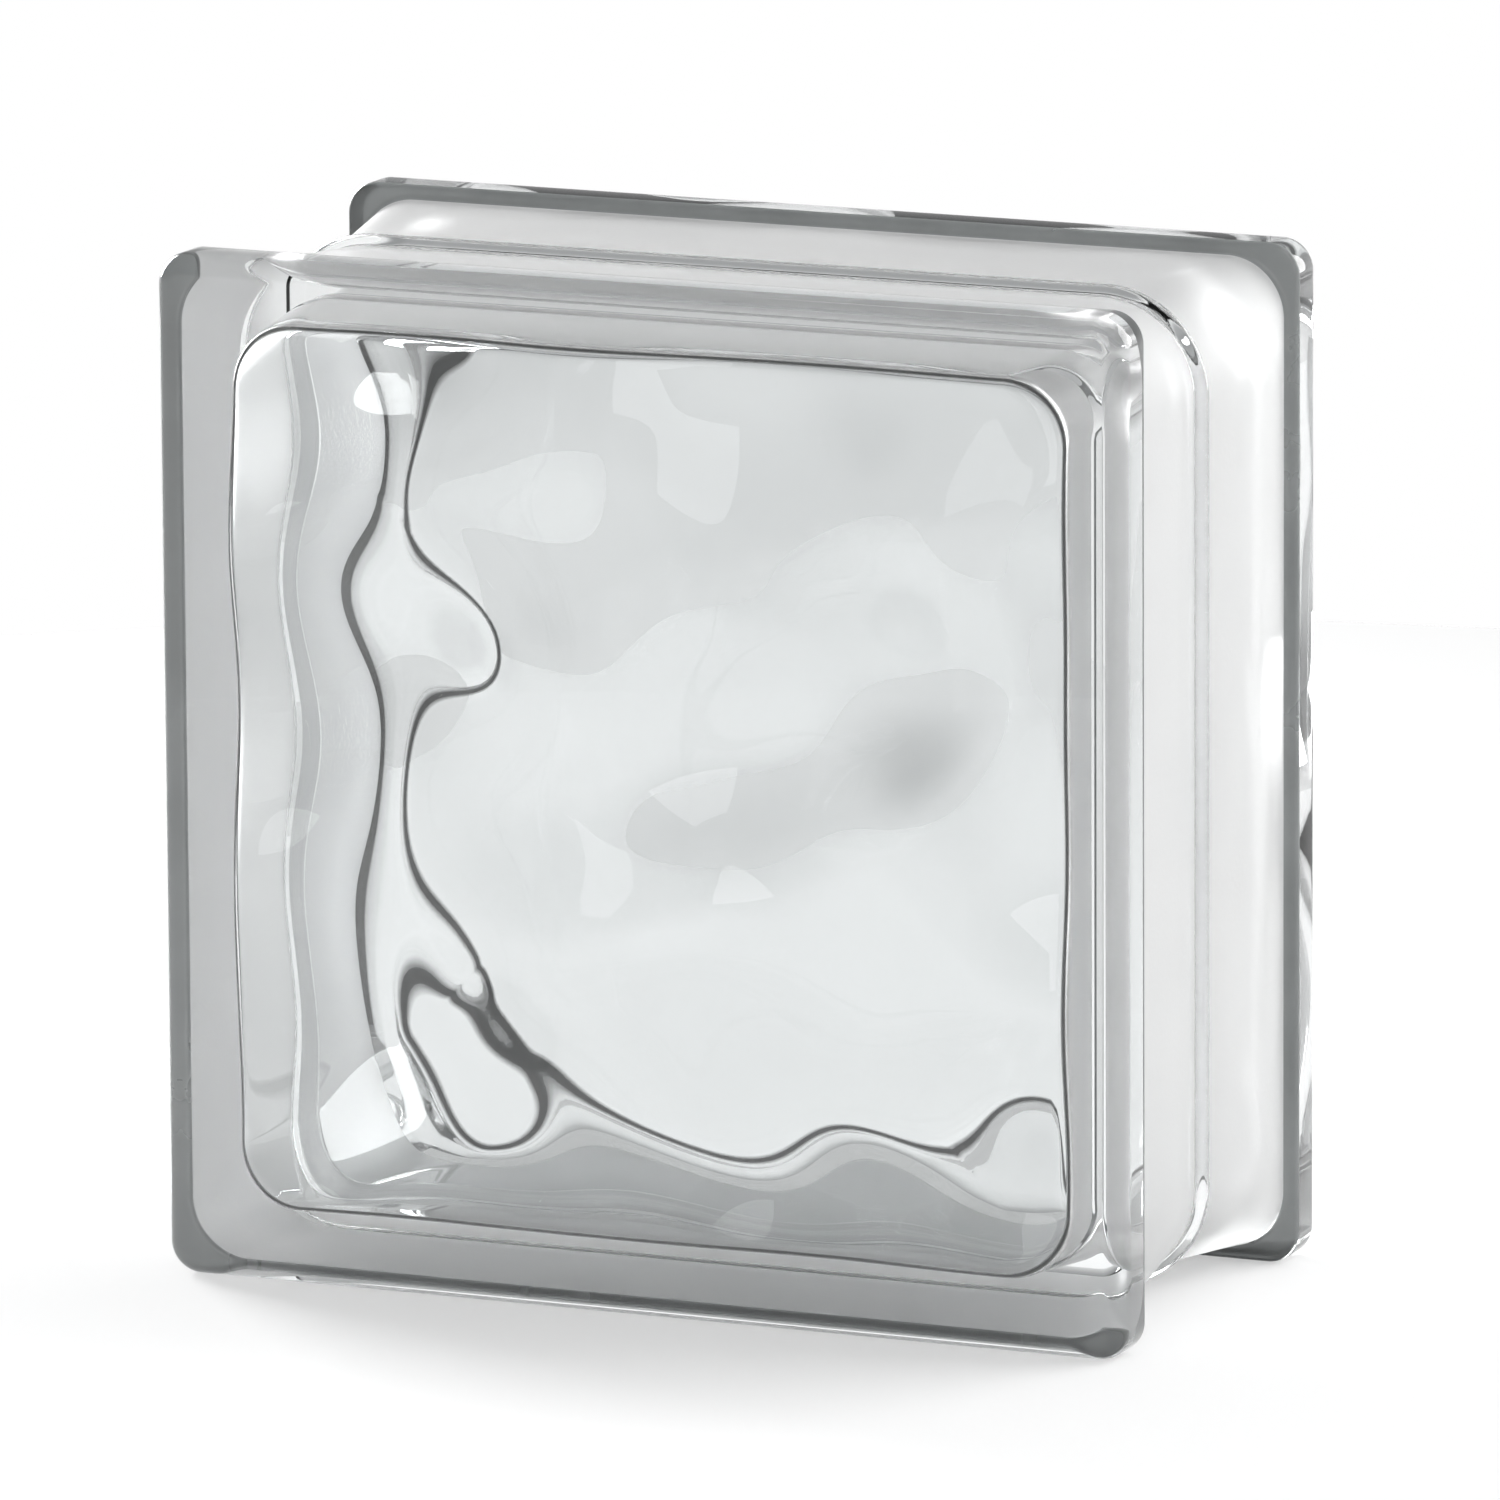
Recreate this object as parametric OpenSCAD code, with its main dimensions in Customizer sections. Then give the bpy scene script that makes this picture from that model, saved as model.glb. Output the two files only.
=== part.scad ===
// Hollow glass block with waved faces.
//
// Two pressed glass dishes are fused rim to rim into one sealed body. Each dish has a flat outer
// face with a flange around it and a waved inner face. The sides sink between the two flanges to
// take mortar, and a ridge of squeezed-out glass runs around them along the fused seam.
//
// Frame: X across the face, Y through the block from its front to its back face, Z up.
// The origin is the middle of the underside. Lengths are in millimetres, angles in degrees.

/* [Block] */
// Width of the face
block_w = 190; // [140:1:300]
// Height of the face
block_h = 190; // [140:1:300]
// Depth from face to face
block_d = 95; // [76:1:120]

/* [Flanges] */
// Thickness of the flange around each face
flange_t = 10.5; // [8:0.5:14]
// Corner radius of a flange, seen from the front
flange_r = 6; // [5.2:0.2:9]
// Rounding of each face's outer edge
edge_r = 4; // [2:0.2:5]

/* [Side channel] */
// Depth of the channel beside a flange
channel_d = 2.8; // [2:0.1:5]
// Further depth that the channel gains on the way to the seam
channel_draft = 1.7; // [0.5:0.1:3]
// Corner radius of the channel floor beside a flange
floor_r = 11; // [8:0.5:16]
// Fillet where the channel floor runs into a flange
root_r = 1.2; // [0.5:0.1:2]
// Corner radius of the channel floor at the seam
seam_r = 18; // [14:0.5:24]
// Width of the seam ridge at its foot
seam_w = 5; // [3.5:0.5:8]
// Width of the seam ridge at its crest
crest_w = 2; // [1:0.25:3]
// Height of the seam ridge over the channel floor
seam_h = 1.9; // [0.5:0.1:2.5]

/* [Cavity] */
// Mean thickness of a face
face_t = 9; // [7:0.25:12]
// Thickness of the side wall beside a face
wall_t = 10; // [7:0.25:12]
// Thickness of the side wall at the seam
seam_wall_t = 6.5; // [4:0.25:9]
// Corner radius of the cavity beside a face
cavity_r = 12; // [8:0.5:18]
// Cove between the cavity's sides and its waved faces
cove_r = 1.8; // [1:0.1:5]
// Depth along the cavity's sides over which the waves die out
fade_d = 8; // [6:0.5:15]
// Height of the seam's bead inside the cavity
bead_h = 2.4; // [0.5:0.1:4]
// Width of that bead at its foot
bead_w = 7; // [4:0.5:12]

/* [Upright swell] */
// Height of the swell with upright crests to either side of the mean face
upright_h = 1.53; // [0:0.01:2]
// Length of this swell from crest to crest
upright_l = 77.4; // [30:0.1:100]
// Lean of its crests from upright, to the right on the front
upright_lean_angle = -1; // [-180:1:180]
// Phase of this swell at the middle of the face, in degrees
upright_phase_angle = 131; // [-180:1:180]

/* [Level swell] */
// Height of the swell with level crests to either side of the mean face
level_h = 1.67; // [0:0.01:2]
// Length of this swell from crest to crest
level_l = 74.6; // [30:0.1:100]
// Lean of its crests from upright, to the right on the front
level_lean_angle = -91; // [-180:1:180]
// Phase of this swell at the middle of the face, in degrees
level_phase_angle = -144; // [-180:1:180]

/* [Broad swell] */
// Height of the broad slanting swell to either side of the mean face
broad_h = 0.67; // [0:0.01:2]
// Length of this swell from crest to crest
broad_l = 54.5; // [30:0.1:100]
// Lean of its crests from upright, to the right on the front
broad_lean_angle = 56; // [-180:1:180]
// Phase of this swell at the middle of the face, in degrees
broad_phase_angle = -109; // [-180:1:180]

/* [Close swell] */
// Height of the close slanting swell to either side of the mean face
close_h = 0.59; // [0:0.01:2]
// Length of this swell from crest to crest
close_l = 43.5; // [30:0.1:100]
// Lean of its crests from upright, to the right on the front
close_lean_angle = 68; // [-180:1:180]
// Phase of this swell at the middle of the face, in degrees
close_phase_angle = -63; // [-180:1:180]

/* [Cross swell] */
// Height of the swell that crosses the others to either side of the mean face
cross_h = 0.30; // [0:0.01:2]
// Length of this swell from crest to crest
cross_l = 37.6; // [30:0.1:100]
// Lean of its crests from upright, to the right on the front
cross_lean_angle = -39; // [-180:1:180]
// Phase of this swell at the middle of the face, in degrees
cross_phase_angle = 92; // [-180:1:180]

/* [Hidden] */
$fn = 64;
corner_steps = 10;           // facets in a corner of the channel floor
wave_cells = 36;             // cells of the waved faces along one side
seam_inset = channel_d + channel_draft;
edge_lap = (flange_r - edge_r) / 2;
flange_z = block_d / 2 - flange_t;
cavity_z = block_d / 2 - face_t;

// Both halves come out of one mould. The back half is turned over about its diagonal, so its crests
// lie across those of the front. Everything below is drawn lying down, with its front face up.

// Rounded rectangle of the block's outline, drawn in by an inset
module plate_2d(inset, r) {
    w = block_w - 2 * inset;
    h = block_h - 2 * inset;
    square([w - 2 * r, h], center = true);
    square([w, h - 2 * r], center = true);
    for (x = [-1, 1], y = [-1, 1]) translate([x * (w / 2 - r), y * (h / 2 - r)]) circle(r);
}

// Section of a face's rounded edge, which reaches a little way into the plates that carry it
module edge_2d() {
    intersection() {
        circle(edge_r);
        translate([-edge_lap, -edge_lap]) square(edge_r + edge_lap);
    }
}

// Flange and face plate of the front half, with its outer edge rounded
module flange() {
    translate([0, 0, flange_z]) {
        linear_extrude(flange_t - edge_r) plate_2d(0, flange_r);
        linear_extrude(flange_t) plate_2d(edge_r, flange_r - edge_r);
        translate([0, 0, flange_t - edge_r]) rounded_edge();
    }
}

// Quarter-round bead along the four sides and around the four corners of a face
module rounded_edge() {
    side_x = block_w / 2 - flange_r;
    side_y = block_h / 2 - flange_r;
    for (side = [[0, side_x, side_y], [90, side_y, side_x]], turn = [0, 180])
        rotate(side[0] + turn) translate([side[1] + flange_r - edge_r, side[2], 0])
            rotate([90, 0, 0]) linear_extrude(2 * side[2]) edge_2d();
    for (corner = [[1, 1, 0], [-1, 1, 90], [-1, -1, 180], [1, -1, 270]])
        translate([corner[0] * side_x, corner[1] * side_y, 0]) rotate(corner[2])
            rotate_extrude(angle = 90) translate([flange_r - edge_r, 0]) edge_2d();
}

// Outline of a rounded rectangle as points at height z
function outline(inset, r, z) = [
    for (c = [[1, 1, 0], [-1, 1, 90], [-1, -1, 180], [1, -1, 270]], k = [0:corner_steps])
        let (a = c[2] + 90 * k / corner_steps)
        [c[0] * (block_w / 2 - inset - r) + r * cos(a), c[1] * (block_h / 2 - inset - r) + r * sin(a), z]
];

// Triangles between two neighbouring rings of n points, the lower one starting at index a
function band(a, b, n) = [
    for (k = [0:n - 1]) let (l = (k + 1) % n) each [[a + k, b + k, b + l], [a + k, b + l, a + l]]
];

// Body between the flanges: channel floor, fillets and seam ridge, as one stack of outlines
module core() {
    front = [
        [crest_w / 2, seam_inset - seam_h, seam_r + seam_h],
        [seam_w / 2, seam_inset, seam_r],
        [flange_z - root_r, channel_d, floor_r],
        [flange_z - 0.3 * root_r, channel_d - 0.3 * root_r, floor_r + 0.3 * root_r],
        [flange_z, channel_d - root_r, floor_r + root_r],
        [flange_z + flange_t / 2, channel_d - root_r, floor_r + root_r],
    ];
    last = len(front) - 1;
    rings = concat(
        [for (k = [last:-1:0]) outline(front[k][1], front[k][2], -front[k][0])],
        [for (s = front) outline(s[1], s[2], s[0])]
    );
    n = len(rings[0]);
    top = (len(rings) - 1) * n;
    polyhedron(
        points = [for (ring = rings) each ring],
        faces = concat(
            [[for (k = [0:n - 1]) k]],
            [for (s = [0:len(rings) - 2]) each band(s * n, (s + 1) * n, n)],
            [[for (k = [n - 1:-1:0]) top + k]]
        )
    );
}

// Height of one swell, a distance ahead of the middle across its crests
function swell(x, y, h, l, lean, phase) =
    h * sin(360 * (x * cos(lean) - y * sin(lean)) / l + phase);

// Height of all swells together over the mean inner face, at a place on a half
function wave(x, y) =
    swell(x, y, upright_h, upright_l, upright_lean_angle, upright_phase_angle)
    + swell(x, y, level_h, level_l, level_lean_angle, level_phase_angle)
    + swell(x, y, broad_h, broad_l, broad_lean_angle, broad_phase_angle)
    + swell(x, y, close_h, close_l, close_lean_angle, close_phase_angle)
    + swell(x, y, cross_h, cross_l, cross_lean_angle, cross_phase_angle);

// The same on the front with side 1, and on the turned-over back with side -1
function face_wave(side, x, y) = side > 0 ? wave(x, y) : wave(y, x);

// Place of grid point i, j: rings of the grid bend from a square into the cavity's outline
function grid_xy(i, j, inset, r) =
    let (
        u = 2 * i / wave_cells - 1,
        v = 2 * j / wave_cells - 1,
        m = max(abs(u), abs(v), 0.001),
        w = block_w / 2 - inset,
        h = block_h / 2 - inset,
        x = w * u / m,
        y = h * v / m,
        a = max(abs(x) - w + r, 0),
        b = max(abs(y) - h + r, 0),
        s = a > 0 && b > 0 ? r / norm([a, b]) : 1
    )
    m * [sign(x) * (abs(x) - a + s * a), sign(y) * (abs(y) - b + s * b)];

// Grid indices of the k-th point around a waved face
function rim(k) = let (n = wave_cells)
    k < n ? [k, 0] : k < 2 * n ? [n, k - n] : k < 3 * n ? [3 * n - k, n] : [0, 4 * n - k];

// One waved face of the cavity, on the front with side 1 and on the back with side -1
function waved_face(side) = [
    for (i = [0:wave_cells], j = [0:wave_cells])
        let (c = grid_xy(i, j, channel_d + wall_t + cove_r, cavity_r - cove_r))
        [c[0], c[1], side * (cavity_z + face_wave(side, c[0], c[1]))]
];

// Ring of the cavity's side wall at a depth below the mean face. The waves die out along the wall
function wall_ring(side, depth, inset, r) =
    let (part = max(1 - depth / fade_d, 0))
    [
        for (k = [0:4 * wave_cells - 1])
            let (g = rim(k), c = grid_xy(g[0], g[1], inset, r))
            [c[0], c[1], side * (cavity_z - depth + part * face_wave(side, c[0], c[1]))]
    ];

// Sealed hollow inside: two waved faces joined by coved, drafted side walls
module cavity() {
    n = wave_cells;
    rim_n = 4 * n;
    face_n = (n + 1) * (n + 1);
    side_inset = channel_d + wall_t;
    seam_side = seam_inset + seam_wall_t;
    seam_corner = seam_r - seam_wall_t;
    foot = cavity_z - bead_w / 2;
    draft = (side_inset - seam_side) / cavity_z;
    // Rings of one half from its cove to the foot of the bead: depth, inset and corner radius
    half = concat(
        [for (a = [30, 60, 90]) let (c = cove_r * (1 - sin(a)))
            [cove_r * (1 - cos(a)), side_inset + c, cavity_r - c]],
        [[fade_d, side_inset - draft * fade_d, cavity_r],
         [foot, side_inset - draft * foot, seam_corner]]
    );
    rings = concat(
        [for (s = half) wall_ring(-1, s[0], s[1], s[2])],
        [wall_ring(1, cavity_z, seam_side + bead_h, seam_corner)],
        [for (k = [len(half) - 1:-1:0]) wall_ring(1, half[k][0], half[k][1], half[k][2])]
    );
    first = 2 * face_n;
    last = first + (len(rings) - 1) * rim_n;
    // The rim of a waved face is part of its grid, so its band takes the grid's own points
    function rim_at(base, k) = let (g = rim(k % rim_n)) base + g[0] * (n + 1) + g[1];
    polyhedron(
        points = concat(waved_face(-1), waved_face(1), [for (ring = rings) each ring]),
        faces = concat(
            [for (i = [0:n - 1], j = [0:n - 1]) let (a = i * (n + 1) + j, b = a + n + 1)
                each [[a, b, b + 1], [a, b + 1, a + 1]]],
            [for (i = [0:n - 1], j = [0:n - 1]) let (a = face_n + i * (n + 1) + j, b = a + n + 1)
                each [[a, b + 1, b], [a, a + 1, b + 1]]],
            [for (k = [0:rim_n - 1]) let (l = (k + 1) % rim_n)
                let (p = rim_at(0, k), q = rim_at(0, l))
                each [[p, first + k, first + l], [p, first + l, q]]],
            [for (s = [0:len(rings) - 2]) each band(first + s * rim_n, first + (s + 1) * rim_n, rim_n)],
            [for (k = [0:rim_n - 1]) let (l = (k + 1) % rim_n)
                let (p = rim_at(face_n, k), q = rim_at(face_n, l))
                each [[last + k, p, q], [last + k, q, last + l]]]
        )
    );
}

module glass_block() {
    color([0.80, 0.87, 0.85, 0.6])
        translate([0, 0, block_h / 2]) rotate([90, 0, 0]) difference() {
            union() {
                core();
                for (turn = [0, 180]) rotate([0, turn, 0]) flange();
            }
            cavity();
        }
}

glass_block();
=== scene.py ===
"""Hollow glass block with waved faces, dressed on its CAD frame.

The block is one fused body of pressed glass. Its outer skin is a stack of rounded outlines, and
its sealed hollow is made by a node tree from the same rule as the solid. All lengths are in metres.
"""

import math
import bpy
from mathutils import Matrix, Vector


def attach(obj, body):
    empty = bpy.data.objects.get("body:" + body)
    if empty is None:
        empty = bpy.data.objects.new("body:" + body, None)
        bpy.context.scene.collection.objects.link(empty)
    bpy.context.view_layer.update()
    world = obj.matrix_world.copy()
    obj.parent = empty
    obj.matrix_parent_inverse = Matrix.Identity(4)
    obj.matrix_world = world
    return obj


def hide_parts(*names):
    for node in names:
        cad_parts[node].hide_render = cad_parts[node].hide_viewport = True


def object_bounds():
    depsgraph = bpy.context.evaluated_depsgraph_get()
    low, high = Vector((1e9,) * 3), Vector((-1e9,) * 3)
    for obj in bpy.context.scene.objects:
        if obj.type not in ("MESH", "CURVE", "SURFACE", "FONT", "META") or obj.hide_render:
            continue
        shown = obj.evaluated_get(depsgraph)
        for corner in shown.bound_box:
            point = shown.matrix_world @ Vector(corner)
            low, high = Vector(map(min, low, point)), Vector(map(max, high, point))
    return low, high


bl_info = {
    "name": "Waved glass block",
    "version": (1, 0, 0),
    "blender": (4, 5, 0),
    "location": "3D View > Sidebar > Glass block",
    "description": "Builds a hollow glass block with waved inner faces and a pale studio around it",
    "category": "Object",
}

import bpy
from bpy.props import FloatProperty, FloatVectorProperty, IntProperty, PointerProperty
from bpy.types import Operator, Panel, PropertyGroup
from mathutils import Matrix, Vector

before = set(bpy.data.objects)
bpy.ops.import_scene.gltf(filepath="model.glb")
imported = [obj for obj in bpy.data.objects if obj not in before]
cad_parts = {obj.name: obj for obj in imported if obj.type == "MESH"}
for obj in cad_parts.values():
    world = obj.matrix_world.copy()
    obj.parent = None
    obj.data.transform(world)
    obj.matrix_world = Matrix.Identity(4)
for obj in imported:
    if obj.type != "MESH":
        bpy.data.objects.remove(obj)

MM = 0.001
CAD_LOW, CAD_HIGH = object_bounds()
CAD_SIZE = CAD_HIGH - CAD_LOW

# Outer skin: steps along each bend of its profile, from the face to the seam
FACE_MARGIN = 1.0 * MM  # flat strip inside a face's rounded edge, which keeps the shading flat
FACE_EDGE_STEPS = 12
BACK_EDGE_STEPS = 4
FLANK_STEPS = 4
ROOT_STEPS = 6
FIRST_COATED_STEP = 5  # step of the root fillet where the coat begins
FLOOR_STEPS = 8
SEAM_STEPS = 8

# Hollow: its swells, how closely the painted shade line keeps to the coves, and guards against
# dividing by 0
SWELLS = ("upright", "level", "broad", "close", "cross")
SWELL_PARTS = ("height", "length", "lean", "shift")
LINE_POWER = 3.0
LEAST_RING = 1e-4
LEAST_REACH = 1e-9

# Glass, and the painted shade line along its inner fillets
GLASS_IOR = 1.52
HAZE_SCALE, HAZE_DETAIL, HAZE_ROUGHNESS = 160.0, 1.0, 0.012
LINE_GAIN, LINE_OFFSET, LINE_MOST, LINE_ROUGHNESS = 2.0, 0.6, 0.95, 0.5

# Bare flanks of the flanges, painted dark grey as painted shade, and the coat: noise as scale and
# detail, roughness from least to most
GRAIN_DEPTH = 0.2 * MM
EDGE_CLOUD, EDGE_GRAIN, EDGE_RELIEF = (60.0, 4.0), (700.0, 2.0), 0.1
EDGE_CLEAR, EDGE_ROUGHNESS = 0.35, (0.2, 0.4)
COAT_CLOUD, COAT_GRAIN, COAT_RELIEF = (28.0, 3.0), (900.0, 3.0), 0.15
COAT_IOR, COAT_SHINE, COAT_ROUGHNESS = 1.48, 0.25, (0.5, 0.7)
GLOW_SHARE, SATIN_SHARE, SATIN_ROUGHNESS = 0.2, 0.5, 0.5

# Floor: its own tone, the lift that keeps it white, and what the lift loses to the back and the rim
FLOOR_POINTS = 96
FLOOR_TONE = 0.55
FLOOR_LIFT, LOSS_TO_BACK, LOSS_TO_RIM = 0.42, 0.45, 0.3

# Surround: grey overhead, lighter behind the block, white below a soft band at the horizon
WHITE = (1.0, 1.0, 1.0, 1.0)
SKY_TINT = (0.99, 1.0, 1.01)
SKY_LEVEL, SKY_BEHIND = 0.16, 0.36
BAND_BELOW, BAND_HEIGHT = 0.158, 0.36

# Lamps: name, place, size and watts, all turned to one point
LAMP_AIM = (0.0, 0.0, 0.1)
LAMPS = (
    ("right window", (1.9, 1.5, 1.1), 2.4, 102.0),
    ("left window", (-1.7, 1.0, 0.6), 0.9, 76.0),
    ("front fill", (0.3, -1.8, 0.8), 1.1, 8.0),
    ("overhead", (0.2, 0.2, 1.6), 1.2, 6.0),
)

# Camera and light paths
PHOTO_PX = 1500
SENSOR_MM = 36.0
CLIP_NEAR, CLIP_FAR = 0.1, 50.0
GLASS_BOUNCES, DIFFUSE_BOUNCES = 11, 5

# Sockets of a Mix node that is set to colours
MIX_FROM, MIX_TO, MIX_OUT = 6, 7, 2


def length(name, default, text):
    """A length in metres that a user may change."""
    return FloatProperty(
        name=name, description=text, default=default, min=0.0, subtype="DISTANCE", unit="LENGTH"
    )


def angle(name, degrees, text):
    """An angle that a user may change, given in degrees."""
    return FloatProperty(
        name=name, description=text, default=math.radians(degrees), subtype="ANGLE"
    )


def count(name, default, least, text):
    """A whole number that a user may change."""
    return IntProperty(name=name, description=text, default=default, min=least)


def colour(name, default, text):
    """A plain colour that a user may change."""
    return FloatVectorProperty(
        name=name, description=text, default=default, size=3, min=0.0, max=1.0, subtype="COLOR"
    )


class BlockSizes(PropertyGroup):
    """Sizes of the block, as in the solid apart from the back rounding, and its point counts."""

    width: length("Width", CAD_SIZE.x, "Width of the face")
    depth: length("Depth", CAD_SIZE.y, "Depth from face to face")
    height: length("Height", CAD_SIZE.z, "Height of the face")
    flange: length("Flange", 10.5 * MM, "Thickness of the flange around each face")
    flange_corner: length("Flange corner", 6 * MM, "Corner radius of a flange")
    edge_round: length("Edge rounding", 4 * MM, "Rounding of each face's outer edge")
    back_round: length("Back rounding", 0.7 * MM, "Rounding of a flange's edge at the channel")
    channel: length("Channel", 2.8 * MM, "Depth of the channel beside a flange")
    draft: length("Draft", 1.7 * MM, "Further depth that the channel gains on the way to the seam")
    floor_corner: length("Floor corner", 11 * MM, "Corner radius of the channel beside a flange")
    root: length("Root fillet", 1.2 * MM, "Fillet where the channel floor runs into a flange")
    seam_corner: length("Seam corner", 18 * MM, "Corner radius of the channel floor at the seam")
    seam_width: length("Seam width", 5 * MM, "Width of the seam ridge at its foot")
    seam_height: length("Seam height", 1.9 * MM, "Height of the seam ridge over the channel floor")
    face: length("Face", 9 * MM, "Mean thickness of a face")
    wall: length("Wall", 10 * MM, "Thickness of the side wall beside a face")
    seam_wall: length("Seam wall", 6.5 * MM, "Thickness of the side wall at the seam")
    hollow_corner: length("Hollow corner", 12 * MM, "Corner radius of the hollow beside a face")
    cove: length("Cove", 1.8 * MM, "Cove between the hollow's sides and its waved faces")
    fade: length("Fade", 8 * MM, "Depth along the hollow's sides over which the waves die out")
    bead: length("Bead", 2.4 * MM, "Height of the seam's bead inside the hollow")
    bead_width: length("Bead width", 7 * MM, "Width of that bead at its foot")
    corner_steps: count("Corner steps", 24, 4, "Facets in a corner of the skin")
    face_points: count("Face points", 154, 20, "Points along each side of a waved face")
    side_points: count("Side points", 68, 20, "Points through the hollow's depth")


class WaveSwells(PropertyGroup):
    """Swells that add up to a face's waves, each with a height, a length, a lean and a shift."""

    upright_height: length("Upright height", 1.53 * MM, "Height of the swell with upright crests")
    upright_length: length(
        "Upright length", 77.4 * MM, "Length of the upright swell, crest to crest"
    )
    upright_lean: angle("Upright lean", -1, "Lean of the upright swell's crests to the right")
    upright_shift: angle("Upright shift", 131, "Phase of the upright swell at the face's middle")
    level_height: length("Level height", 1.67 * MM, "Height of the swell with level crests")
    level_length: length("Level length", 74.6 * MM, "Length of the level swell, crest to crest")
    level_lean: angle("Level lean", -91, "Lean of the level swell's crests to the right")
    level_shift: angle("Level shift", -144, "Phase of the level swell at the face's middle")
    broad_height: length("Broad height", 0.67 * MM, "Height of the broad slanting swell")
    broad_length: length("Broad length", 54.5 * MM, "Length of the broad swell, crest to crest")
    broad_lean: angle("Broad lean", 56, "Lean of the broad swell's crests to the right")
    broad_shift: angle("Broad shift", -109, "Phase of the broad swell at the face's middle")
    close_height: length("Close height", 0.59 * MM, "Height of the close slanting swell")
    close_length: length("Close length", 43.5 * MM, "Length of the close swell, crest to crest")
    close_lean: angle("Close lean", 68, "Lean of the close swell's crests to the right")
    close_shift: angle("Close shift", -63, "Phase of the close swell at the face's middle")
    cross_height: length("Cross height", 0.30 * MM, "Height of the swell that crosses the others")
    cross_length: length("Cross length", 37.6 * MM, "Length of the cross swell, crest to crest")
    cross_lean: angle("Cross lean", -39, "Lean of the cross swell's crests to the right")
    cross_shift: angle("Cross shift", 92, "Phase of the cross swell at the face's middle")


class BlockFinish(PropertyGroup):
    """Colours of the glass and of the coat on its sides."""

    glass_tint: colour("Glass tint", (0.826, 0.84, 0.842), "Colour that the glass takes on")
    # Painted shade: near-black colour of the line painted along the inner fillets
    fillet_painted_shade: colour("Fillet tint", (0.03, 0.034, 0.034), "Dark line along the inner fillets")
    # Painted shade: dark greys of the bare flanks, standing in for the dark surroundings they
    # reflect and refract
    edge_painted_shade: colour("Edge", (0.24, 0.255, 0.255), "Bare flanks of the flanges")
    edge_painted_deep_shade: colour("Edge shade", (0.10, 0.108, 0.108), "Darker places on those flanks")
    coat_light: colour("Coat", (0.86, 0.86, 0.855), "Satin white coat on the sides")
    coat_shade: colour("Coat shade", (0.79, 0.795, 0.80), "Thin places in the coat")
    coat_glow: colour("Coat glow", (0.55, 0.55, 0.55), "Light that comes through the coat")


class StudioSetup(PropertyGroup):
    """Camera and floor."""

    azimuth: angle("Azimuth", 23.56, "Turn of the camera to the right")
    elevation: angle("Elevation", 11.60, "Height of the camera")
    roll: angle("Roll", -0.343, "Roll of the camera")
    distance: length("Distance", 2.9786, "Distance from the camera to its target")
    focal_px: FloatProperty(
        name="Focal length", description="In pixels of the photograph", default=16312.0
    )
    target: FloatVectorProperty(
        name="Target", description="Point at the middle of the picture",
        default=(0.00204, 0.0, 0.09646), size=3, subtype="TRANSLATION", unit="LENGTH",
    )
    floor_radius: length("Floor radius", 0.62, "Radius of the pale floor")


class Term:
    """A node socket that takes part in Python arithmetic: each step adds one Math node."""

    def __init__(self, tree, socket=None):
        self.tree = tree
        self.socket = socket

    def node(self, kind, settings=None, sockets=None, out=0):
        """Adds a node, sets it up, feeds its sockets and returns one of its outputs."""
        made = self.tree.nodes.new(kind)
        for key, value in (settings or {}).items():
            setattr(made, key, value)
        for key, value in (sockets or {}).items():
            if isinstance(value, Term):
                self.tree.links.new(value.socket, made.inputs[key])
            else:
                made.inputs[key].default_value = value
        return Term(self.tree, made.outputs[out])

    def math(self, operation, *values):
        return self.node("ShaderNodeMath", {"operation": operation}, dict(enumerate(values)))

    def __add__(self, other):
        return self.math("ADD", self, other)

    def __sub__(self, other):
        return self.math("SUBTRACT", self, other)

    def __rsub__(self, other):
        return self.math("SUBTRACT", other, self)

    def __mul__(self, other):
        return self.math("MULTIPLY", self, other)

    def __truediv__(self, other):
        return self.math("DIVIDE", self, other)

    def __rtruediv__(self, other):
        return self.math("DIVIDE", other, self)

    def __gt__(self, other):
        return self.math("GREATER_THAN", self, other)

    def __abs__(self):
        return self.math("ABSOLUTE", self)

    __radd__ = __add__
    __rmul__ = __mul__

    def sign(self):
        return self.math("SIGN", self)

    def sin(self):
        return self.math("SINE", self)

    def cos(self):
        return self.math("COSINE", self)

    def root(self):
        return self.math("SQRT", self)

    def power(self, other):
        return self.math("POWER", self, other)

    def at_least(self, other):
        return self.math("MAXIMUM", self, other)

    def at_most(self, other):
        return self.math("MINIMUM", self, other)

    def split(self):
        """The three parts of a vector."""
        parts = self.node("ShaderNodeSeparateXYZ", sockets={0: self}).socket.node.outputs
        return [Term(self.tree, part) for part in parts]

    def noise(self, scale, detail):
        """Soft noise at this place."""
        return self.node(
            "ShaderNodeTexNoise", sockets={"Vector": self, "Scale": scale, "Detail": detail}
        )

    def relief(self, strength, distance):
        """Bump whose height is this value."""
        return self.node(
            "ShaderNodeBump", sockets={"Strength": strength, "Distance": distance, "Height": self}
        )

    def tone(self, first, second):
        """The first colour where this value is 0, the second where it is 1."""
        return self.node(
            "ShaderNodeMix", {"data_type": "RGBA"},
            {"Factor": self, MIX_FROM: first, MIX_TO: second}, MIX_OUT,
        )

    def principled(self, sockets):
        return self.node("ShaderNodeBsdfPrincipled", sockets=sockets)

    def mixed(self, share, first, second):
        """The first shader at share 0, the second at share 1."""
        return self.node("ShaderNodeMixShader", sockets={0: share, 1: first, 2: second})

    def show(self, output):
        """Ends the tree with this shader."""
        self.tree.links.new(self.socket, self.tree.nodes.new(output).inputs["Surface"])


def blend(first, second, share):
    """The first value at share 0, the second at share 1."""
    return first + (second - first) * share


def smooth_step(share):
    """Share from 0 to 1 that sets off and arrives gently."""
    return share * share * (3.0 - 2.0 * share)


def rounding(a, b, radius):
    """How far two overlaps at a corner give way to make it round."""
    both = (a * b) > 0.0
    reach = (a * a + b * b).root().at_least(LEAST_REACH)
    return (1.0 - radius / reach) * both


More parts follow.
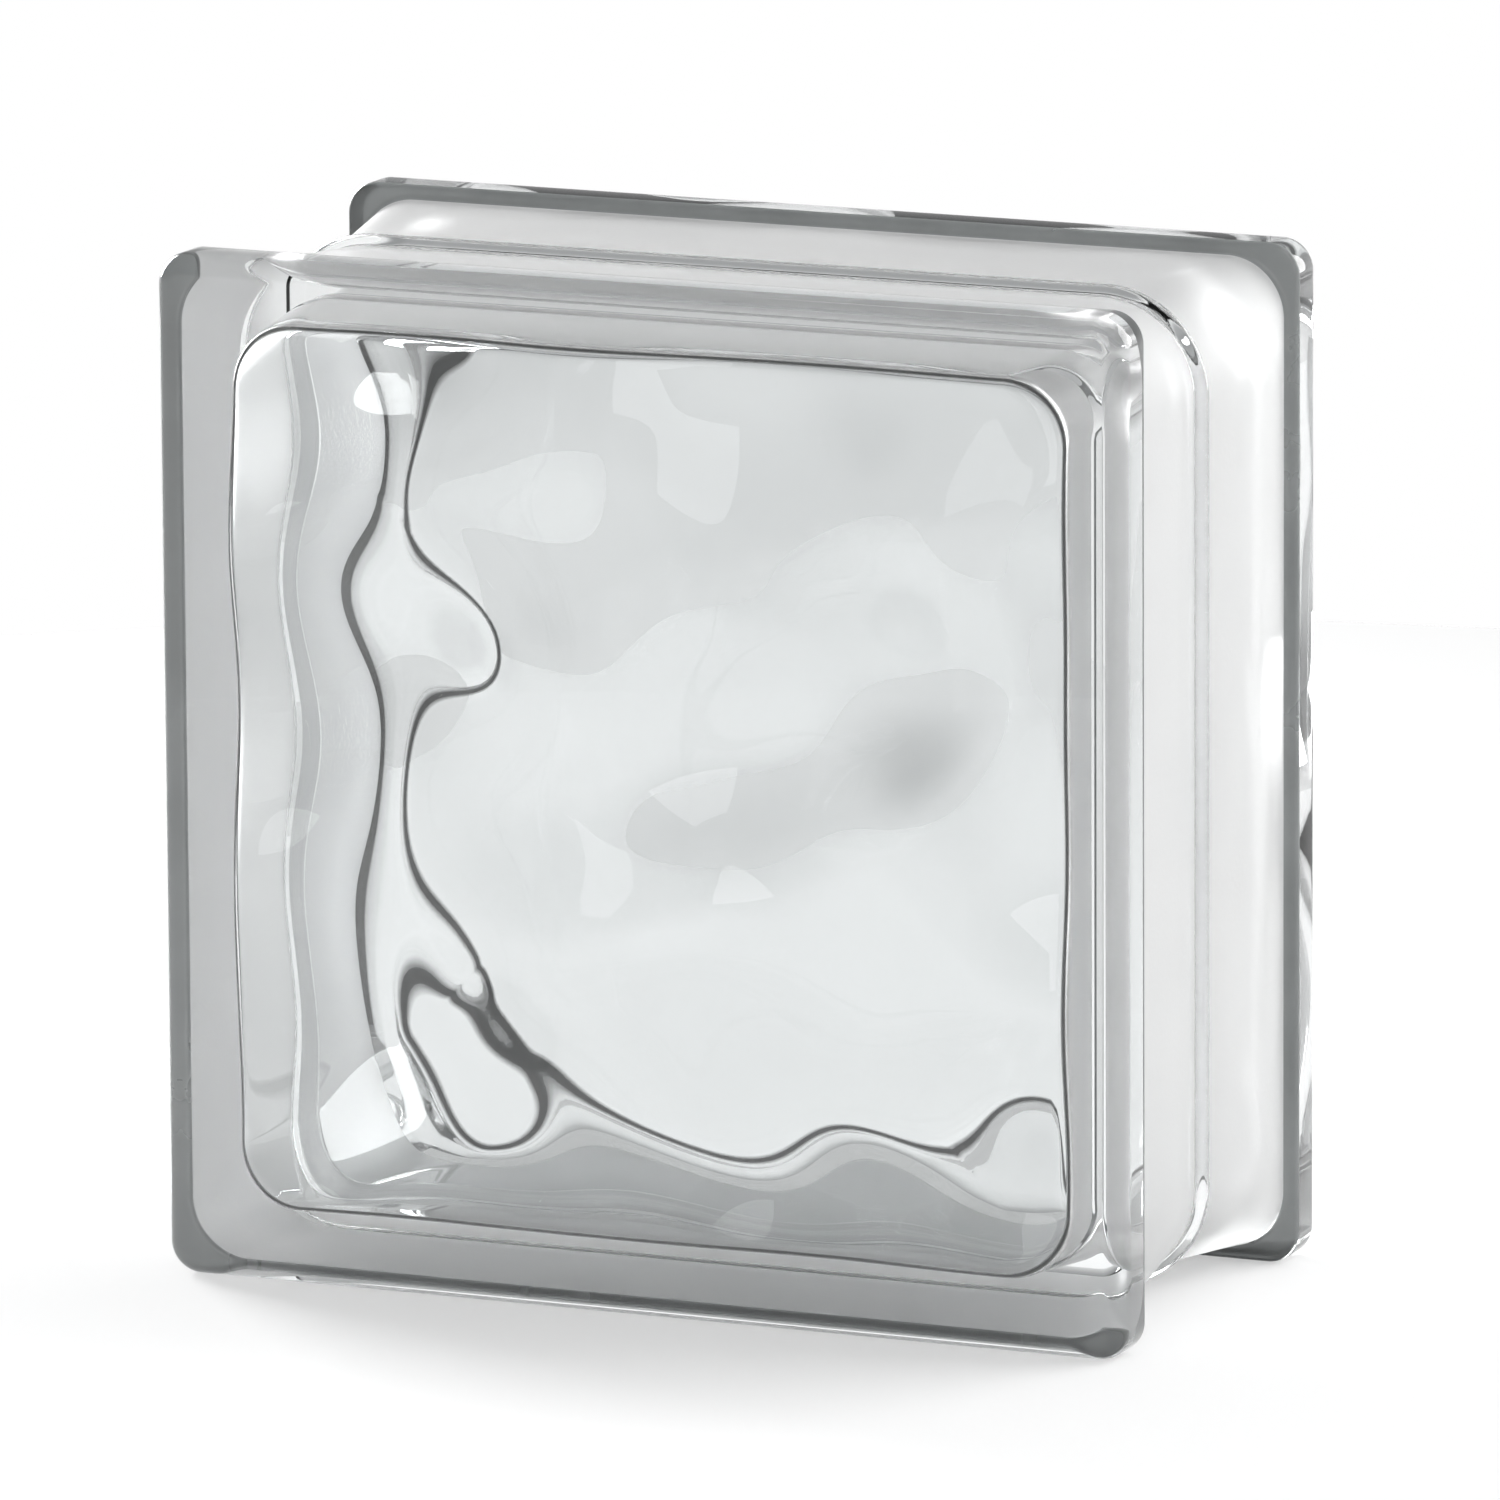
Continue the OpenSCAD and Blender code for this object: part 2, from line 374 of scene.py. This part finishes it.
def hollow_tree(glass):
    """Node tree of the sealed hollow: a cube of cells bent into coved walls and waved faces."""
    tree = bpy.data.node_groups.new("Waved hollow", "GeometryNodeTree")
    tree.interface.new_socket("Geometry", in_out="OUTPUT", socket_type="NodeSocketGeometry")
    lengths = (
        "Face half width", "Face half height", "Half depth", "Seam half width", "Seam half height",
        "Face corner", "Seam corner", "Cove", "Fade", "Bead", "Bead width", "Middle height",
        *(f"{swell} {part}" for swell in SWELLS for part in SWELL_PARTS),
    )
    counts = ("Face points", "Side points")
    for name in lengths:
        tree.interface.new_socket(name, in_out="INPUT", socket_type="NodeSocketFloat")
    for name in counts:
        tree.interface.new_socket(name, in_out="INPUT", socket_type="NodeSocketInt")
    start = Term(tree)
    group_in = tree.nodes.new("NodeGroupInput")
    size = {name: Term(tree, group_in.outputs[name]) for name in (*lengths, *counts)}

    cube = start.node(
        "GeometryNodeMeshCube",
        sockets={
            "Size": (2.0, 2.0, 2.0), "Vertices X": size["Face points"],
            "Vertices Y": size["Side points"], "Vertices Z": size["Face points"],
        },
    )
    across, through, up = start.node("GeometryNodeInputPosition").split()

    # Where a point lies: its ring around the axis, and how far it is from the wall and the face
    ring = abs(across).at_least(abs(up)).at_least(LEAST_RING)
    side = through.sign()
    cove = size["Cove"]
    from_wall = (1.0 - ring) * size["Face half width"]
    from_face = (1.0 - abs(through)) * size["Half depth"]
    near_wall = (cove - from_wall).at_least(0.0)
    near_face = (cove - from_face).at_least(0.0)
    # Mask of the painted shade line: strongest where a point lies in both a wall's cove and a
    # face's cove
    fillet = (near_wall * near_face / (cove * cove)).power(LINE_POWER)
    give = rounding(near_wall, near_face, cove)
    from_wall = from_wall + near_wall * give
    from_face = from_face + near_face * give

    # The walls lean out towards the seam, where a bead stands into the hollow
    depth = size["Half depth"] - from_face
    share = depth / size["Half depth"]
    bead = size["Bead"] * smooth_step((1.0 - depth / size["Bead width"]).at_least(0.0))
    scale = 1.0 - from_wall / size["Face half width"]
    half_w = (blend(size["Seam half width"], size["Face half width"], share) - bead) * scale
    half_h = (blend(size["Seam half height"], size["Face half height"], share) - bead) * scale
    corner = blend(size["Seam corner"], size["Face corner"], share) * scale
    x, z = across / ring * half_w, up / ring * half_h
    past_x = (abs(x) - half_w + corner).at_least(0.0)
    past_z = (abs(z) - half_h + corner).at_least(0.0)
    give = rounding(past_x, past_z, corner)
    x = x.sign() * (abs(x) - past_x * give)
    z = z.sign() * (abs(z) - past_z * give)

    # The waves are a sum of swells. The back is the same half, turned over about its diagonal
    is_back = side > 0.0
    wave_x, wave_z = blend(x, z, is_back), blend(z, x, is_back)
    wave = 0.0
    for swell in SWELLS:
        rise, crest, lean, shift = (size[f"{swell} {part}"] for part in SWELL_PARTS)
        ahead = wave_x * lean.cos() - wave_z * lean.sin()
        wave += rise * (ahead * 2 * math.pi / crest + shift).sin()
    fade = (1.0 - from_face / size["Fade"]).at_least(0.0)
    y = side * (depth + wave * fade)

    spot = start.node("ShaderNodeCombineXYZ", sockets={0: x, 1: y, 2: z + size["Middle height"]})
    # The mask is stored as the fillet attribute, which places the painted shade line in the glass
    lined = start.node(
        "GeometryNodeStoreNamedAttribute", {"data_type": "FLOAT", "domain": "POINT"},
        {"Geometry": cube, "Name": "fillet", "Value": fillet},
    )
    bent = start.node("GeometryNodeSetPosition", sockets={"Geometry": lined, "Position": spot})
    inward = start.node("GeometryNodeFlipFaces", sockets={"Mesh": bent})
    smooth = start.node(
        "GeometryNodeSetShadeSmooth", sockets={"Geometry": inward, "Shade Smooth": True}
    )
    real = start.node("GeometryNodeRealizeInstances", sockets={"Geometry": smooth})
    done = start.node("GeometryNodeSetMaterial", sockets={"Geometry": real, "Material": glass})
    tree.links.new(done.socket, tree.nodes.new("NodeGroupOutput").inputs["Geometry"])
    return tree


def hollow_mesh(glass):
    """Plain mesh of the sealed hollow, its faces turned away from the glass."""
    s = bpy.context.scene.block_sizes
    tree = hollow_tree(glass)
    values = {
        "Face half width": s.width / 2 - s.channel - s.wall,
        "Face half height": s.height / 2 - s.channel - s.wall,
        "Half depth": s.depth / 2 - s.face,
        "Seam half width": s.width / 2 - s.channel - s.draft - s.seam_wall,
        "Seam half height": s.height / 2 - s.channel - s.draft - s.seam_wall,
        "Face corner": s.hollow_corner,
        "Seam corner": s.seam_corner - s.seam_wall,
        "Cove": s.cove,
        "Fade": s.fade,
        "Bead": s.bead,
        "Bead width": s.bead_width / 2,
        "Middle height": s.height / 2,
        "Face points": s.face_points,
        "Side points": s.side_points,
    }
    swells = bpy.context.scene.wave_swells
    values |= {name.replace("_", " "): getattr(swells, name) for name in swells.__annotations__}
    carrier = bpy.data.objects.new("hollow", bpy.data.meshes.new("hollow"))
    bpy.context.scene.collection.objects.link(carrier)
    bender = carrier.modifiers.new("Waved hollow", "NODES")
    bender.node_group = tree
    for item in tree.interface.items_tree:
        if item.in_out == "INPUT":
            bender[item.identifier] = values[item.name]
    shaped = carrier.evaluated_get(bpy.context.evaluated_depsgraph_get())
    mesh = bpy.data.meshes.new_from_object(shaped)
    carrier.modifiers.remove(bender)
    bpy.data.objects.remove(carrier)
    return mesh


def outline(inset, radius, y):
    """Rounded outline of the block drawn in by an inset, at depth y, standing on the floor."""
    s = bpy.context.scene.block_sizes
    points = []
    for sx, sz, first in ((1, 1, 0), (-1, 1, 90), (-1, -1, 180), (1, -1, 270)):
        for k in range(s.corner_steps + 1):
            a = math.radians(first + 90 * k / s.corner_steps)
            x = sx * (s.width / 2 - inset - radius) + radius * math.cos(a)
            z = sz * (s.height / 2 - inset - radius) + radius * math.sin(a)
            points.append((x, y, z + s.height / 2))
    return points


def quarter_turn(steps, first=0):
    """Numbers and angles of the steps in a quarter turn."""
    return [(k, math.pi / 2 * k / steps) for k in range(first, steps + 1)]


def shares(steps):
    """Shares of a way that is gone in equal steps, without its start."""
    return [k / steps for k in range(1, steps + 1)]


def skin_profile():
    """Half of the outer skin, in rows from the front face to the seam.

    A row holds its depth from the face, its inset, its corner radius, and the finish of the band
    that ends at it.
    """
    s = bpy.context.scene.block_sizes
    rows = []

    def row(depth, inset, radius, finish="glass"):
        rows.append((depth, inset, radius, finish))

    row(0.0, s.edge_round + FACE_MARGIN, s.flange_corner)
    for _, a in quarter_turn(FACE_EDGE_STEPS):
        inset = s.edge_round * (1 - math.sin(a))
        row(s.edge_round * (1 - math.cos(a)), inset, s.flange_corner - inset)
    for k, a in quarter_turn(BACK_EDGE_STEPS):
        depth = s.flange - s.back_round * (1 - math.sin(a))
        inset = s.back_round * (1 - math.cos(a))
        row(depth, inset, s.flange_corner - inset, "edge" if k else "glass")
    root_edge = s.channel - s.root
    rim_corner, root_corner = s.flange_corner - s.back_round, s.floor_corner + s.root
    for t in shares(FLANK_STEPS):
        row(s.flange, blend(s.back_round, root_edge, t), blend(rim_corner, root_corner, t), "edge")
    for k, a in quarter_turn(ROOT_STEPS, 1):
        depth = s.flange + s.root * (1 - math.cos(a))
        inset = root_edge + s.root * math.sin(a)
        finish = "coat" if k >= FIRST_COATED_STEP else "edge"
        row(depth, inset, s.floor_corner + s.channel - inset, finish)
    begin, foot = s.flange + s.root, s.depth / 2 - s.seam_width / 2
    for t in shares(FLOOR_STEPS):
        corner = blend(s.floor_corner, s.seam_corner, t)
        row(blend(begin, foot, t), s.channel + s.draft * t, corner, "coat")
    for t in shares(SEAM_STEPS):
        rise = s.seam_height * smooth_step(t)
        row(foot + s.seam_width / 2 * t, s.channel + s.draft - rise, s.seam_corner + rise)
    return rows


def skin_mesh():
    """Outer skin of the block as points, faces and the name of each face's finish."""
    s = bpy.context.scene.block_sizes
    half = skin_profile()
    rows = [(depth - s.depth / 2, *rest) for depth, *rest in half]
    for (depth, inset, radius, _), (*_, finish) in zip(half[-2::-1], half[:0:-1]):
        rows.append((s.depth / 2 - depth, inset, radius, finish))
    points = []
    for y, inset, radius, _ in rows:
        points += outline(inset, radius, y)
    n = 4 * (s.corner_steps + 1)
    faces, kinds = [list(range(n))], ["glass"]
    for k, (*_, finish) in enumerate(rows[1:]):
        for j in range(n):
            a, b = k * n + j, k * n + (j + 1) % n
            faces.append((b, a, a + n, b + n))
            kinds.append(finish)
    faces.append(list(range(len(points) - 1, len(points) - n - 1, -1)))
    kinds.append("glass")
    return points, faces, kinds


def blank_tree(owner):
    """Empties the node tree of a material or a world, and gives a first term in it."""
    owner.use_nodes = True
    owner.node_tree.nodes.clear()
    return Term(owner.node_tree)


def opaque(tone):
    """A colour with full alpha."""
    return (*tone, 1.0)


def glass_finish(name, finish):
    """Clear pressed glass with a faint haze, with a painted shade line along its small inner
    fillets: an opaque near-black shader is mixed in there.
    """
    made = bpy.data.materials.new(name)
    start = blank_tree(made)
    haze = start.node("ShaderNodeTexCoord", out="Object").noise(HAZE_SCALE, HAZE_DETAIL)
    clear = start.principled({
        "Base Color": opaque(finish.glass_tint), "Transmission Weight": 1.0, "IOR": GLASS_IOR,
        "Roughness": HAZE_ROUGHNESS * haze,
    })
    # Painted shade: an opaque near-black shader, mixed in along the coves, stands in for the dark
    # line that refraction shows there
    line = start.principled({
        "Base Color": opaque(finish.fillet_painted_shade), "Roughness": LINE_ROUGHNESS,
    })
    fillet = start.node("ShaderNodeAttribute", {"attribute_name": "fillet"}, out="Fac")
    share = (LINE_GAIN * fillet - LINE_OFFSET).at_least(0.0).at_most(LINE_MOST)
    start.mixed(share, clear, line).show("ShaderNodeOutputMaterial")
    return made


def painted_shade_edge_finish(name, finish):
    """Bare flank of a flange, towards the channel: half clear glass, painted dark grey as painted
    shade for the dark surroundings that the flanks reflect and refract.
    """
    made = bpy.data.materials.new(name)
    start = blank_tree(made)
    spot = start.node("ShaderNodeTexCoord", out="Object")
    cloud = spot.noise(*EDGE_CLOUD)
    # Painted shade: the dark grey base colour, with darker clouds at random, stands in for the dark
    # surroundings that bare glass flanks show
    shader = start.principled({
        "Base Color": cloud.tone(opaque(finish.edge_painted_shade), opaque(finish.edge_painted_deep_shade)),
        "Transmission Weight": EDGE_CLEAR, "IOR": GLASS_IOR,
        "Roughness": blend(*EDGE_ROUGHNESS, cloud),
        "Normal": spot.noise(*EDGE_GRAIN).relief(EDGE_RELIEF, GRAIN_DEPTH),
    })
    shader.show("ShaderNodeOutputMaterial")
    return made


def coat_finish(name, finish):
    """Satin white coat, sprayed on the sides: uneven in tone, with a fine grain, and not opaque."""
    made = bpy.data.materials.new(name)
    start = blank_tree(made)
    spot = start.node("ShaderNodeTexCoord", out="Object")
    cloud = spot.noise(*COAT_CLOUD)
    grain = spot.noise(*COAT_GRAIN).relief(COAT_RELIEF, GRAIN_DEPTH)
    white = start.principled({
        "Base Color": cloud.tone(opaque(finish.coat_light), opaque(finish.coat_shade)),
        "Roughness": blend(*COAT_ROUGHNESS, cloud), "IOR": COAT_IOR,
        "Specular IOR Level": COAT_SHINE, "Normal": grain,
    })
    glow = start.node("ShaderNodeBsdfTranslucent", sockets={"Color": opaque(finish.coat_glow)})
    satin = start.principled({
        "Base Color": opaque(finish.coat_glow), "Transmission Weight": 1.0, "IOR": GLASS_IOR,
        "Roughness": SATIN_ROUGHNESS, "Normal": grain,
    })
    body = start.mixed(GLOW_SHARE, white, glow)
    start.mixed(SATIN_SHARE, body, satin).show("ShaderNodeOutputMaterial")
    return made


class MakeBlock(Operator):
    """Builds the glass block from its outer skin and its sealed hollow"""

    bl_idname = "glass_block.make_block"
    bl_label = "Glass block"

    def execute(self, context):
        finish = context.scene.block_finish
        finishes = {
            "glass": glass_finish("pressed glass", finish),
            "coat": coat_finish("satin edge coat", finish),
            "edge": painted_shade_edge_finish("bare flange edge", finish),
        }
        points, faces, kinds = skin_mesh()
        hollow = hollow_mesh(finishes["glass"])
        base = len(points)
        points += [tuple(v.co) for v in hollow.vertices]
        faces += [[base + v for v in f.vertices] for f in hollow.polygons]
        kinds += ["glass"] * len(hollow.polygons)
        # The fillet mask of the hollow, which places the painted shade line, is carried over to the
        # joined mesh
        fillet = [0.0] * base + [item.value for item in hollow.attributes["fillet"].data]
        bpy.data.meshes.remove(hollow)
        mesh = bpy.data.meshes.new("glass_block_body")
        mesh.from_pydata(points, [], faces)
        mesh.attributes.new("fillet", "FLOAT", "POINT").data.foreach_set("value", fillet)
        for material in finishes.values():
            mesh.materials.append(material)
        slots = {kind: k for k, kind in enumerate(finishes)}
        mesh.polygons.foreach_set("material_index", [slots[kind] for kind in kinds])
        mesh.polygons.foreach_set("use_smooth", [True] * len(faces))
        mesh.update()
        if mesh.validate():
            raise RuntimeError("the block's mesh has bad faces")
        block = bpy.data.objects.new("waved_glass_block", mesh)
        context.scene.collection.objects.link(block)
        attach(block, "root")
        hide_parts("glass_block")
        return {"FINISHED"}


def floor_finish(name):
    """Pale floor that stays white around the block and keeps its shadow."""
    made = bpy.data.materials.new(name)
    start = blank_tree(made)
    rays = start.node("ShaderNodeLightPath").socket.node.outputs
    camera, glossy, passing = (
        Term(start.tree, rays[f"Is {kind} Ray"]) for kind in ("Camera", "Glossy", "Transmission")
    )
    seen = camera.at_least(glossy).at_least(passing)
    spot = start.node("ShaderNodeTexCoord", out="Object")
    out = start.node("ShaderNodeVectorMath", {"operation": "LENGTH"}, {0: spot}, "Value")
    _, back, _ = spot.split()
    lift = FLOOR_LIFT - LOSS_TO_BACK * back - LOSS_TO_RIM * out * out
    lit = start.node("ShaderNodeBsdfDiffuse", sockets={"Color": opaque([FLOOR_TONE] * 3)})
    glow = start.node("ShaderNodeEmission", sockets={"Color": lift * seen, "Strength": 1.0})
    both = start.node("ShaderNodeAddShader", sockets={0: lit, 1: glow})
    both.show("ShaderNodeOutputMaterial")
    return made


def studio_world():
    """Soft surround: white below the horizon, grey above it and lighter behind the block."""
    world = bpy.data.worlds.new("pale studio")
    start = blank_tree(world)
    _, north, height = start.node("ShaderNodeTexCoord", out="Generated").split()
    level = SKY_LEVEL + SKY_BEHIND * north.at_least(0.0) * north
    grey = start.node(
        "ShaderNodeVectorMath", {"operation": "SCALE"}, {0: SKY_TINT, "Scale": level}
    )
    rise = smooth_step(((height + BAND_BELOW) / BAND_HEIGHT).at_least(0.0).at_most(1.0))
    sky = start.node(
        "ShaderNodeBackground", sockets={"Color": rise.tone(WHITE, grey), "Strength": 1.0}
    )
    sky.show("ShaderNodeOutputWorld")
    return world


def soft_lamp(name, place, size, watts):
    """Square soft light that looks at the block."""
    lamp = bpy.data.lights.new(name, "AREA")
    lamp.shape, lamp.size, lamp.energy = "SQUARE", size, watts
    stand = bpy.data.objects.new(name, lamp)
    stand.location = place
    stand.rotation_euler = (Vector(LAMP_AIM) - Vector(place)).to_track_quat("-Z", "Y").to_euler()
    bpy.context.scene.collection.objects.link(stand)


def studio_camera(setup):
    """Camera that sees the block as the photograph does."""
    a, e = setup.azimuth, setup.elevation
    right = Vector((math.cos(a), math.sin(a), 0.0))
    ahead = Vector((-math.sin(a) * math.cos(e), math.cos(a) * math.cos(e), -math.sin(e)))
    axes = Matrix((right, right.cross(ahead), -ahead)).transposed().to_4x4()
    place = Vector(setup.target) - setup.distance * ahead
    lens = bpy.data.cameras.new("camera")
    lens.sensor_width = SENSOR_MM
    lens.lens = setup.focal_px * SENSOR_MM / PHOTO_PX
    lens.clip_start, lens.clip_end = CLIP_NEAR, CLIP_FAR
    camera = bpy.data.objects.new("camera", lens)
    camera.matrix_world = Matrix.Translation(place) @ axes @ Matrix.Rotation(setup.roll, 4, "Z")
    bpy.context.scene.collection.objects.link(camera)
    return camera


class MakeStudio(Operator):
    """Sets up the pale floor, the soft light and the camera"""

    bl_idname = "glass_block.make_studio"
    bl_label = "Studio"

    def execute(self, context):
        scene, setup = context.scene, context.scene.studio_setup
        bpy.ops.mesh.primitive_circle_add(
            vertices=FLOOR_POINTS, radius=setup.floor_radius, fill_type="NGON"
        )
        floor = context.object
        floor.name = "pale_floor"
        floor.data.materials.append(floor_finish("pale floor"))
        scene.world = studio_world()
        for lamp in LAMPS:
            soft_lamp(*lamp)
        scene.camera = studio_camera(setup)
        scene.view_settings.view_transform = "Standard"
        scene.cycles.max_bounces = GLASS_BOUNCES
        scene.cycles.transmission_bounces = GLASS_BOUNCES
        scene.cycles.diffuse_bounces = DIFFUSE_BOUNCES
        return {"FINISHED"}


GROUPS = {
    "block_sizes": BlockSizes,
    "wave_swells": WaveSwells,
    "block_finish": BlockFinish,
    "studio_setup": StudioSetup,
}


class BlockPanel(Panel):
    """Lists the block's sizes, swells, finish and studio"""

    bl_idname = "VIEW3D_PT_glass_block"
    bl_label = "Glass block"
    bl_space_type = "VIEW_3D"
    bl_region_type = "UI"
    bl_category = "Glass block"

    def draw(self, context):
        for key in GROUPS:
            group = getattr(context.scene, key)
            box = self.layout.box()
            for name in group.bl_rna.properties.keys():
                if name not in {"rna_type", "name"}:
                    box.prop(group, name)
        for step in (MakeBlock, MakeStudio):
            self.layout.operator(step.bl_idname)


CLASSES = (*GROUPS.values(), MakeBlock, MakeStudio, BlockPanel)


def register():
    for item in CLASSES:
        bpy.utils.register_class(item)
    for key, group in GROUPS.items():
        setattr(bpy.types.Scene, key, PointerProperty(type=group))


def unregister():
    for key in GROUPS:
        delattr(bpy.types.Scene, key)
    for item in reversed(CLASSES):
        bpy.utils.unregister_class(item)


def main():
    register()
    bpy.ops.glass_block.make_block()
    bpy.ops.glass_block.make_studio()


if __name__ == "__main__":
    main()
